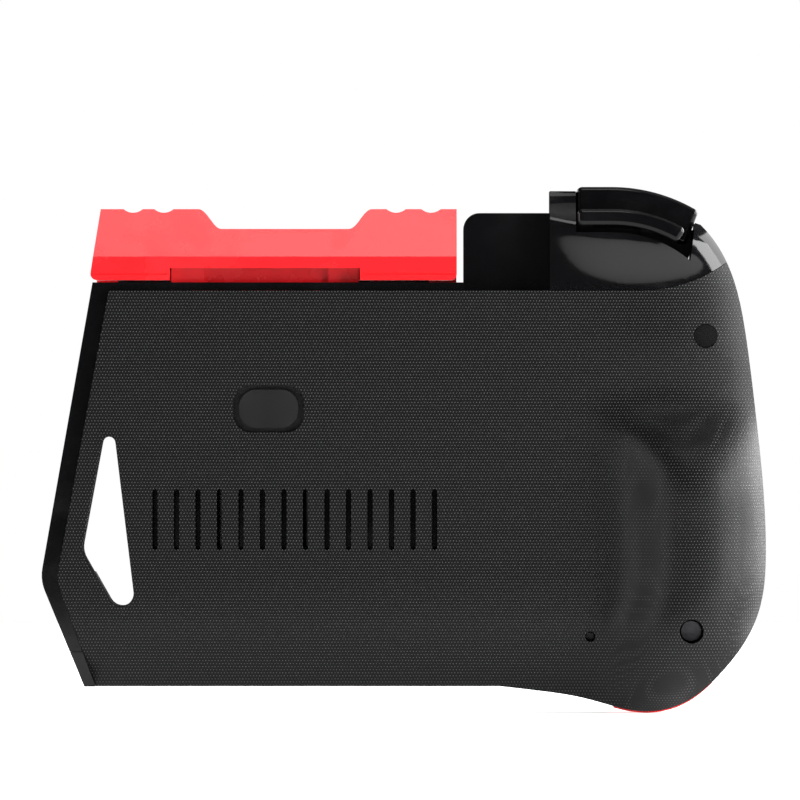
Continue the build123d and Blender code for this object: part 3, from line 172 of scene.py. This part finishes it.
def axes_of(tree, direction):
    """The X, Y and Z of a place or a direction, each as a socket."""
    node = tree.nodes.new("ShaderNodeSeparateXYZ")
    put(tree, node.inputs[0], direction)
    return node.outputs


def noise(tree, place, scale, detail=2.0, roughness=0.5):
    node = tree.nodes.new("ShaderNodeTexNoise")
    put(tree, node.inputs["Vector"], place)
    put(tree, node.inputs["Scale"], scale)
    put(tree, node.inputs["Detail"], detail)
    put(tree, node.inputs["Roughness"], roughness)
    return node.outputs[0]


def cells(tree, place, scale, distance="EUCLIDEAN"):
    """How far each point is from the middle of its cell."""
    node = tree.nodes.new("ShaderNodeTexVoronoi")
    node.distance = distance
    put(tree, node.inputs["Vector"], place)
    put(tree, node.inputs["Scale"], scale)
    return node.outputs["Distance"]


def ramp(tree, value, low, high, to_low=0.0, to_high=1.0, smooth=True):
    """Carries a value from one range to another, held at the ends."""
    node = tree.nodes.new("ShaderNodeMapRange")
    node.interpolation_type = "SMOOTHSTEP" if smooth else "LINEAR"
    for name, amount in zip(
        ("Value", "From Min", "From Max", "To Min", "To Max"), (value, low, high, to_low, to_high)
    ):
        put(tree, node.inputs[name], amount)
    return node.outputs["Result"]


def blended(tree, share, first, second):
    """A colour between two, each given as red, green and blue or as a socket."""
    node = tree.nodes.new("ShaderNodeMix")
    node.data_type = "RGBA"
    put(tree, node.inputs[0], share)
    for socket, colour in zip((node.inputs[6], node.inputs[7]), (first, second)):
        put(tree, socket, (*colour, 1) if isinstance(colour, tuple) else colour)
    return node.outputs[2]


def effect(name, takes, gives):
    """An empty shader group with its sockets, for an effect that several finishes share."""
    tree = bpy.data.node_groups.new(name, "ShaderNodeTree")
    for label, kind in takes.items():
        tree.interface.new_socket(name=label, in_out="INPUT", socket_type="NodeSocket" + kind)
    for label in gives:
        tree.interface.new_socket(name=label, in_out="OUTPUT", socket_type="NodeSocketFloat")
    return tree, tree.nodes.new("NodeGroupInput").outputs, tree.nodes.new("NodeGroupOutput").inputs


def apply_effect(tree, group, **values):
    node = tree.nodes.new("ShaderNodeGroup")
    node.node_tree = group
    for label, value in values.items():
        put(tree, node.inputs[label], value)
    return node.outputs


# Effects that several finishes share
def make_dotted_relief():
    """Round dots in staggered rows, laid on from three sides and blended by how a face lies."""
    tree, given, out = effect(
        "dotted_relief", {"Place": "Vector", "Facing": "Vector", "Pitch": "Float"}, ["Height", "Dot glint"],
    )
    whole = maths(tree, "DIVIDE", 2 * pi, given["Pitch"])
    half = maths(tree, "DIVIDE", pi, given["Pitch"])
    place = axes_of(tree, given["Place"])
    facing = axes_of(tree, given["Facing"])

    def wave(axis, turn):
        return maths(tree, "COSINE", maths(tree, "MULTIPLY", place[axis], turn))

    total, weights = 0.0, 0.0
    for first, second, normal in (("X", "Z", "Y"), ("Y", "Z", "X"), ("X", "Y", "Z")):
        crossed = maths(tree, "MULTIPLY", wave(first, whole), wave(second, half))
        lattice = maths(tree, "ADD", maths(tree, "MULTIPLY", crossed, 2.0), wave(second, whole))
        weight = maths(tree, "POWER", maths(tree, "ABSOLUTE", facing[normal]), dot_blend_power)
        total = maths(tree, "ADD", total, maths(tree, "MULTIPLY", lattice, weight))
        weights = maths(tree, "ADD", weights, weight)
    lattice = maths(tree, "DIVIDE", total, weights)
    put(tree, out["Height"], ramp(tree, lattice, *dot_height_range))
    # The dot-top mask that paints the dots paler: a painted highlight
    put(tree, out["Dot glint"], ramp(tree, lattice, *dot_glint_range))
    return tree


def make_moulded_grain():
    """Fine spark-eroded grain with slow patches of more and less polish."""
    tree, given, out = effect(
        "moulded_grain", {"Place": "Vector", "Grain": "Float", "Patches": "Float"}, ["Height", "Patch"],
    )
    put(tree, out["Height"], noise(tree, given["Place"], given["Grain"], detail=3.0, roughness=0.65))
    slow = noise(tree, given["Place"], given["Patches"], detail=4.0, roughness=0.6)
    put(tree, out["Patch"], ramp(tree, slow, *patch_range))
    return tree


def make_handling_marks():
    """Faint smears and hairline scuffs that hands and a bag leave on polished plastic."""
    tree, given, out = effect("handling_marks", {"Place": "Vector", "Smears": "Float"}, ["Smear", "Scuff"])
    cloud = noise(tree, given["Place"], given["Smears"], detail=5.0, roughness=0.6)
    put(tree, out["Smear"], ramp(tree, cloud, *smear_range))
    turned = tree.nodes.new("ShaderNodeMapping")
    put(tree, turned.inputs["Vector"], given["Place"])
    turned.inputs["Rotation"].default_value = scuff_turn
    turned.inputs["Scale"].default_value = scuff_stretch
    lines = noise(tree, turned.outputs[0], 1.0, detail=1.0, roughness=0.4)
    put(tree, out["Scuff"], ramp(tree, lines, *scuff_range))
    return tree


def make_brushing():
    """Fine lines drawn along one axis, as on drawn wire, pins and pressed steel."""
    tree, given, out = effect("brushing", {"Place": "Vector", "Fineness": "Vector"}, ["Lines", "Tarnish"])
    stretched = vector(tree, "MULTIPLY", given["Place"], given["Fineness"])
    put(tree, out["Lines"], noise(tree, stretched, 1.0, detail=2.0, roughness=0.6))
    spots = noise(tree, given["Place"], tarnish_fineness, detail=4.0, roughness=0.6)
    put(tree, out["Tarnish"], ramp(tree, spots, *tarnish_range))
    return tree


def make_settled_dust():
    """Thin dust on faces that look up, thicker in soft patches."""
    tree, given, out = effect("settled_dust", {"Place": "Vector", "Facing": "Vector"}, ["Dust"])
    upward = ramp(tree, axes_of(tree, given["Facing"])["Z"], *upward_range)
    drifts = noise(tree, given["Place"], dust_fineness, detail=5.0, roughness=0.7)
    put(tree, out["Dust"], maths(tree, "MULTIPLY", upward, ramp(tree, drifts, *dust_range)))
    return tree


dotted_relief = make_dotted_relief()
moulded_grain = make_moulded_grain()
handling_marks = make_handling_marks()
brushing = make_brushing()
settled_dust = make_settled_dust()


# Finishes
class Finish:
    """A material with its principled shader and the places that its patterns read.

    Named values set the shader's own sockets, with an underscore for each space.
    """

    def __init__(self, name, **plain):
        self.material = bpy.data.materials.new(name)
        self.material.use_nodes = True
        self.tree = self.material.node_tree
        self.tree.nodes.clear()
        self.shader = self.tree.nodes.new("ShaderNodeBsdfPrincipled")
        ending = self.tree.nodes.new("ShaderNodeOutputMaterial")
        put(self.tree, ending.inputs["Surface"], self.shader.outputs[0])
        coordinates = self.tree.nodes.new("ShaderNodeTexCoord")
        self.place = coordinates.outputs["Object"]
        self.facing = coordinates.outputs["Normal"]
        for label, value in plain.items():
            self.shader.inputs[label.replace("_", " ")].default_value = value

    def grain(self, fineness, patches):
        return apply_effect(
            self.tree, moulded_grain, Place=self.place, Grain=fineness, Patches=patches
        )

    def colour(self, share, first, second):
        put(self.tree, self.shader.inputs["Base Color"], blended(self.tree, share, first, second))

    def dusted(self, share, first, second, amount):
        """Base colour with a little dust where the piece looks up."""
        base = blended(self.tree, share, first, second)
        cover = apply_effect(self.tree, settled_dust, Place=self.place, Facing=self.facing)["Dust"]
        self.colour(maths(self.tree, "MULTIPLY", cover, amount), base, dust_colour)

    def rough(self, share, low, high):
        put(
            self.tree, self.shader.inputs["Roughness"],
            ramp(self.tree, share, 0.0, 1.0, low, high, smooth=False),
        )

    def relief(self, height, depth, strength=1.0):
        bump = self.tree.nodes.new("ShaderNodeBump")
        bump.inputs["Distance"].default_value = depth
        bump.inputs["Strength"].default_value = strength
        put(self.tree, bump.inputs["Height"], height)
        put(self.tree, self.shader.inputs["Normal"], bump.outputs[0])


def dotted(name, dark, light, rough):
    """Matte plastic with fine raised dots, smoother on their tops, which carry a painted highlight of
    paler colour.
    """
    finish = Finish(name, Specular_IOR_Level=0.18)
    tree = finish.tree
    dots = apply_effect(tree, dotted_relief, Place=finish.place, Facing=finish.facing, Pitch=dot_pitch)
    grain = finish.grain(back_fineness, back_patches)
    speckle = ramp(tree, grain["Height"], *speckle_range, *speckle_shares)
    # The dot tops, varied at random, take the paler colour of the painted highlight
    dot_glint_share = maths(tree, "MULTIPLY", dots["Dot glint"], speckle, clamp=True)
    finish.dusted(dot_glint_share, dark, light, amount=0.03)
    finish.rough(dot_glint_share, *rough)
    finish.relief(dots["Height"], dot_depth, strength=0.9)
    return finish.material


def moulded(name, dark, light, rough, fineness=plastic_fineness, depth=grain_depth, **plain):
    """Satin or matte moulded plastic or rubber with a fine grain."""
    finish = Finish(name, **plain)
    grain = finish.grain(fineness, plastic_patches)
    finish.dusted(grain["Patch"], dark, light, amount=0.10)
    finish.rough(grain["Patch"], *rough)
    finish.relief(grain["Height"], depth, strength=0.8)
    return finish.material


def arrowed(name, dark, light, rough, mark):
    """Smooth moulded keys round one middle, each with an arrowhead that points outwards."""
    up_low, up_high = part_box("key_up")
    left_low, left_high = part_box("key_left")
    middle = (up_low.x + up_high.x) / 2, 0.0, (left_low.z + left_high.z) / 2
    pitch = (up_low.z + up_high.z) / 2 - middle[2]
    finish = Finish(name)
    tree = finish.tree
    grain = finish.grain(plastic_fineness, plastic_patches)
    place = axes_of(tree, vector(tree, "SUBTRACT", finish.place, middle))
    across = maths(tree, "ABSOLUTE", place["X"])
    upward = maths(tree, "ABSOLUTE", place["Z"])
    along = maths(tree, "MAXIMUM", across, upward)
    aside = maths(tree, "MINIMUM", across, upward)
    past_foot = maths(tree, "SUBTRACT", along, pitch - arrow_length / 2)
    to_tip = maths(tree, "SUBTRACT", pitch + arrow_length / 2, along)
    within = maths(tree, "SUBTRACT", maths(tree, "MULTIPLY", to_tip, arrow_slope), aside)
    arrow = ramp(tree, maths(tree, "MINIMUM", past_foot, within), 0.0, arrow_edge)
    to_front = ramp(tree, axes_of(tree, finish.facing)["Y"], *forward_range)
    arrow = maths(tree, "MULTIPLY", arrow, to_front)
    finish.colour(arrow, blended(tree, grain["Patch"], dark, light), mark)
    finish.rough(grain["Patch"], *rough)
    sunk = maths(tree, "SUBTRACT", maths(tree, "MULTIPLY", grain["Height"], grain_on_keys), arrow)
    finish.relief(sunk, arrow_depth, strength=0.8)
    return finish.material


def polished(name, dark, light, rough, **plain):
    """Polished plastic with faint smears, hairline scuffs and a slight moulded waviness."""
    finish = Finish(name, **plain)
    tree = finish.tree
    marks = apply_effect(tree, handling_marks, Place=finish.place, Smears=smear_fineness)
    smear = maths(tree, "MULTIPLY", marks["Smear"], smear_share)
    scuff = maths(tree, "MULTIPLY", marks["Scuff"], scuff_share)
    finish.dusted(marks["Smear"], dark, light, amount=0.06)
    finish.rough(maths(tree, "ADD", smear, scuff, clamp=True), *rough)
    sag = noise(tree, finish.place, sag_fineness, detail=1.0, roughness=0.4)
    finish.relief(sag, sag_depth, strength=0.5)
    return finish.material


def metal(name, dark, light, rough, fineness):
    """Drawn or pressed metal with fine lines and darker tarnished spots."""
    finish = Finish(name, Metallic=1.0)
    drawn = apply_effect(finish.tree, brushing, Place=finish.place, Fineness=fineness)
    finish.colour(drawn["Tarnish"], light, dark)
    finish.rough(drawn["Lines"], *rough)
    finish.relief(drawn["Lines"], line_depth, strength=0.6)
    return finish.material


def ribbed_rubber(name, dark, light, rough):
    """Rubber mat with low round ribs across the phone."""
    finish = Finish(name, Specular_IOR_Level=0.35)
    tree = finish.tree
    grain = finish.grain(mat_fineness, mat_patches)
    turn = maths(tree, "MULTIPLY", axes_of(tree, finish.place)["X"], 2 * pi / rib_pitch)
    ribs = ramp(tree, maths(tree, "SINE", turn), *rib_range)
    finish.dusted(grain["Patch"], dark, light, amount=0.16)
    finish.rough(grain["Patch"], *rough)
    height = maths(tree, "ADD", ribs, maths(tree, "MULTIPLY", grain["Height"], grain_on_mat))
    finish.relief(height, rib_depth, strength=0.8)
    return finish.material


def board_laminate(name, mask_dark, mask_light, pad_colour, rough):
    """Green solder mask over tracks, and round gilded pads."""
    finish = Finish(name, Coat_Weight=0.3, Coat_Roughness=0.15)
    tree = finish.tree
    rings = maths(tree, "MULTIPLY", cells(tree, finish.place, track_fineness, "MANHATTAN"), track_rings)
    tracks = ramp(tree, maths(tree, "FRACT", rings), *track_range)
    pads = ramp(tree, cells(tree, finish.place, pad_fineness), *pad_range, to_low=1.0, to_high=0.0)
    finish.colour(pads, blended(tree, tracks, mask_dark, mask_light), pad_colour)
    finish.rough(tracks, *rough)
    finish.relief(maths(tree, "MAXIMUM", tracks, pads), track_depth)
    return finish.material


def creased_foil(name, dark, light, rough):
    """Silvered foil pouch with soft creases, coloured darker along each crease as painted shade."""
    finish = Finish(name, Metallic=0.6)
    tree = finish.tree
    creases = noise(tree, finish.place, crease_fineness, detail=6.0, roughness=0.7)
    folds = maths(tree, "ABSOLUTE", maths(tree, "SUBTRACT", creases, 0.5))
    # Darker along the crease lines: painted shade in the creases
    finish.colour(ramp(tree, folds, *fold_range), dark, light)
    finish.rough(creases, *rough)
    finish.relief(folds, crease_depth, strength=0.6)
    return finish.material


def frosted(name, dark, light, rough):
    """Milky window that spreads the status light."""
    finish = Finish(name, Transmission_Weight=0.35, IOR=1.49)
    grain = finish.grain(lens_fineness, lens_patches)
    finish.colour(grain["Patch"], dark, light)
    finish.rough(grain["Patch"], *rough)
    finish.relief(grain["Height"], lens_depth)
    return finish.material


def finish_of(maker, dark, light, rough, **more):
    """A row of the table below: how a slot is made, its two colours and its roughness."""
    return maker, {"dark": dark, "light": light, "rough": rough, **more}


gloss_dark, gloss_light = (0.0026, 0.0026, 0.0030), (0.0048, 0.0048, 0.0054)
finish_table = {
    # back_plastic's light colour is the painted highlight on the dot tops
    "back_plastic": finish_of(dotted, (0.0014, 0.0014, 0.0016), (0.088, 0.088, 0.091), (0.46, 0.36)),
    "chin_plastic": finish_of(
        moulded, (0.0060, 0.0060, 0.0066), (0.0095, 0.0095, 0.0102), (0.42, 0.55), Specular_IOR_Level=0.3,
    ),
    "gloss_black": finish_of(polished, gloss_dark, gloss_light, (0.08, 0.15), Specular_IOR_Level=0.32),
    "shoulder_gloss": finish_of(polished, gloss_dark, gloss_light, (0.12, 0.19), Specular_IOR_Level=0.18),
    "clamp_red": finish_of(
        polished, (0.84, 0.0055, 0.0110), (0.90, 0.0080, 0.0145), (0.26, 0.33), Specular_IOR_Level=0.6,
    ),
    # stem_red is a copy of the red plastic with its own colour, lifted to make up for the shade that falls
    # on the stem recessed under the jaw: painted light
    "stem_red": finish_of(polished, (0.68, 0.0085, 0.0135), (0.76, 0.0115, 0.0170), (0.26, 0.40)),
    "trim_red": finish_of(polished, (0.84, 0.0085, 0.0155), (0.90, 0.0120, 0.0200), (0.20, 0.34)),
    "button_black": finish_of(
        moulded, (0.0055, 0.0055, 0.0059), (0.0085, 0.0085, 0.0090), (0.34, 0.44), Specular_IOR_Level=0.26,
    ),
    "white_nylon": finish_of(
        moulded, (0.66, 0.65, 0.61), (0.74, 0.73, 0.70), (0.38, 0.52), Subsurface_Weight=0.05,
    ),
    "steel": finish_of(
        metal, (0.42, 0.43, 0.44), (0.62, 0.63, 0.64), (0.18, 0.36), fineness=(500.0, 9000.0, 500.0),
    ),
    "spring_steel": finish_of(
        metal, (0.030, 0.031, 0.033), (0.060, 0.061, 0.064), (0.30, 0.46),
        fineness=(9000.0, 9000.0, 500.0),
    ),
    "screw_steel": finish_of(
        metal, (0.035, 0.035, 0.038), (0.075, 0.075, 0.080), (0.28, 0.46),
        fineness=(4000.0, 500.0, 4000.0),
    ),
    "pad_rubber": finish_of(ribbed_rubber, (0.018, 0.018, 0.019), (0.030, 0.030, 0.031), (0.62, 0.85)),
    "plug_rubber": finish_of(
        moulded, (0.0034, 0.0034, 0.0037), (0.0058, 0.0058, 0.0062), (0.60, 0.78),
        fineness=5000.0, depth=0.03 * MM, Specular_IOR_Level=0.08,
    ),
    "switch_body": finish_of(moulded, (0.035, 0.035, 0.038), (0.052, 0.052, 0.056), (0.45, 0.60)),
    "switch_plunger": finish_of(moulded, (0.010, 0.010, 0.011), (0.017, 0.017, 0.018), (0.40, 0.55)),
    "battery_wrap": finish_of(creased_foil, (0.24, 0.25, 0.27), (0.42, 0.43, 0.45), (0.25, 0.50)),
    "stick_rubber": finish_of(
        moulded, (0.010, 0.010, 0.0105), (0.018, 0.018, 0.0185), (0.58, 0.78),
        fineness=4200.0, depth=0.05 * MM,
    ),
    "key_plastic": finish_of(
        arrowed, (0.011, 0.011, 0.012), (0.017, 0.017, 0.018), (0.24, 0.36), mark=(0.46, 0.46, 0.47),
    ),
    "small_key_plastic": finish_of(moulded, (0.020, 0.020, 0.022), (0.029, 0.029, 0.031), (0.36, 0.50)),
    "membrane_rubber": finish_of(
        moulded, (0.34, 0.35, 0.37), (0.44, 0.45, 0.47), (0.60, 0.80), fineness=4000.0, depth=0.03 * MM,
    ),
    "lens": finish_of(frosted, (0.78, 0.80, 0.83), (0.88, 0.89, 0.90), (0.35, 0.50)),
}
finishes = {slot: maker(slot, **given) for slot, (maker, given) in finish_table.items()}
finishes["board_laminate"] = board_laminate(
    "board_laminate", mask_dark=(0.008, 0.075, 0.035), mask_light=(0.02, 0.16, 0.07),
    pad_colour=(0.72, 0.52, 0.24), rough=(0.42, 0.30),
)
for node in frame["nodes"].values():
    for slot in node.material_slots:
        slot.material = finishes[slot.material.name]

# Floor: a pale sheet under the lowest point, bright enough to fade into the backdrop
floor_reach = 1.2
floor_finish = Finish(
    "pale_floor", Specular_IOR_Level=0.1, Emission_Color=(1, 1, 1, 1), Emission_Strength=0.62,
)
floor_tone = noise(floor_finish.tree, floor_finish.place, 3.0, detail=3.0)
floor_finish.colour(floor_tone, (0.92, 0.92, 0.92), (0.95, 0.95, 0.95))
floor_finish.rough(floor_tone, 0.8, 0.9)
floor_mesh = bpy.data.meshes.new("floor")
floor_mesh.from_pydata(
    [(x * floor_reach, y * floor_reach, cad_box[0].z) for x, y in ((-1, -1), (1, -1), (1, 1), (-1, 1))],
    [], [(0, 1, 2, 3)],
)
floor_mesh.materials.append(floor_finish.material)
floor = bpy.data.objects.new("floor", floor_mesh)
bpy.context.scene.collection.objects.link(floor)

# Soft lights: their place, their width and height, and their power in watts
light_aim = (25 * MM, -10 * MM, 0.0)
soft_lights = {
    "right_key": ((1.15, -0.70, 0.25), (0.50, 0.70), 18.0),
    "left_key": ((-1.25, -0.45, 0.25), (0.50, 0.70), 7.0),
    "upper_box": ((0.05, -0.70, 1.00), (0.35, 0.45), 2.3),
    "top_box": ((0.10, 0.05, 0.80), (1.10, 0.45), 1.0),
    "right_box": ((0.72, 0.15, 0.12), (0.90, 0.85), 24.0),
    "left_box": ((-0.80, 0.10, 0.15), (0.70, 0.60), 0.8),
    "front_key": ((-0.95, 0.85, 0.35), (0.50, 0.60), 13.0),
    "front_fill": ((1.05, 0.75, 0.45), (0.60, 0.60), 7.0),
}


def hang_light(name, place, size, power):
    light = bpy.data.lights.new(name, "AREA")
    light.shape = "RECTANGLE"
    light.size, light.size_y = size
    light.energy = power
    lamp = bpy.data.objects.new(name, light)
    lamp.location = place
    lamp.rotation_euler = (Vector(light_aim) - Vector(place)).to_track_quat("-Z", "Y").to_euler()
    lamp.visible_camera = False
    bpy.context.scene.collection.objects.link(lamp)


for name, (place, size, power) in soft_lights.items():
    hang_light(name, place, size, power)

# Backdrop: white where the camera sees it, dim where it only lights the part
backdrop_strength = 1.0
room_strength = 0.06
world = bpy.data.worlds.new("studio")
bpy.context.scene.world = world
world.use_nodes = True
sky = world.node_tree
sky.nodes.clear()
chooser = sky.nodes.new("ShaderNodeMixShader")
put(sky, chooser.inputs[0], sky.nodes.new("ShaderNodeLightPath").outputs["Is Camera Ray"])
for socket, strength in zip((chooser.inputs[1], chooser.inputs[2]), (room_strength, backdrop_strength)):
    white = sky.nodes.new("ShaderNodeBackground")
    white.inputs["Color"].default_value = (1, 1, 1, 1)
    white.inputs["Strength"].default_value = strength
    put(sky, socket, white.outputs[0])
put(sky, sky.nodes.new("ShaderNodeOutputWorld").inputs["Surface"], chooser.outputs[0])

lens = bpy.data.cameras.new("camera")
lens.lens = lens.sensor_width * camera_distance / view_width
camera = bpy.data.objects.new("camera", lens)
camera.location = (view_centre[0], plate_back - camera_distance, view_centre[1])
camera.rotation_euler = (pi / 2, 0, 0)
bpy.context.scene.collection.objects.link(camera)
bpy.context.scene.camera = camera
bpy.context.scene.view_settings.view_transform = "Standard"
